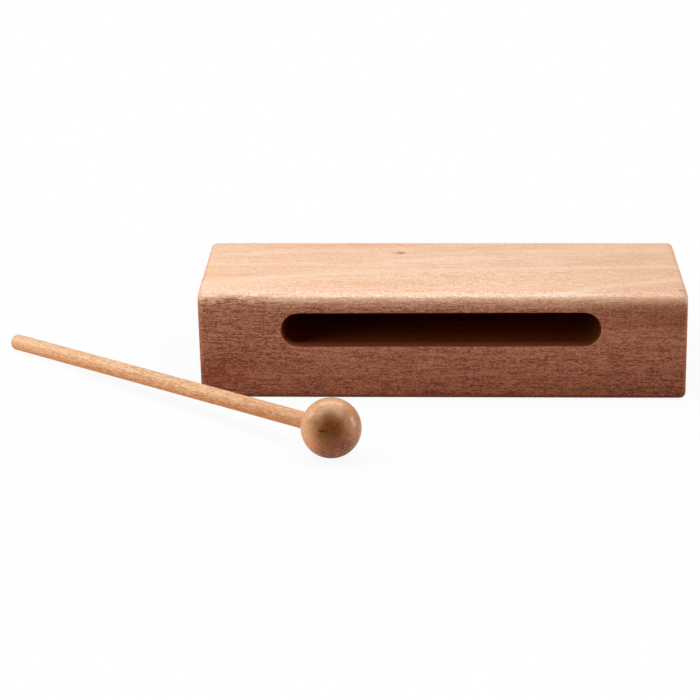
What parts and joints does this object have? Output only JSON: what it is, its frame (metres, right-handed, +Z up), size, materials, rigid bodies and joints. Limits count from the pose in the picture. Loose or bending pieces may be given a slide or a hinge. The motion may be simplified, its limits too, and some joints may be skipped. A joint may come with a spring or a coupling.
{
  "type": "woodblock",
  "caption": "Hardwood block with a long slot in its front, struck on top for a dry wooden click, and its loose ball-headed beater lying beside it.",
  "frame": {"origin": "centre of the block's flat underside, on the table", "axes": "+X along the block, -Y out of the slotted front face, +Z up"},
  "size_m": [0.2562, 0.1352, 0.0405],
  "materials": {
    "block_wood": "sanded, satin clear lacquer",
    "stick_wood": "sanded, thin clear sealer",
    "head_wood": "turned, gloss clear lacquer",
    "glue": "set wood glue"
  },
  "bodies": {
    "block": {"block": "block_wood"},
    "beater": {"beater_stick": "stick_wood", "beater_head": "head_wood", "beater_glue": "glue"}
  },
  "joints": [
    {"name": "beater_lift", "type": "slide", "parent": "block", "child": "beater", "axis": [0, 0, 1], "range_m": [0, 0.08]}
  ]
}
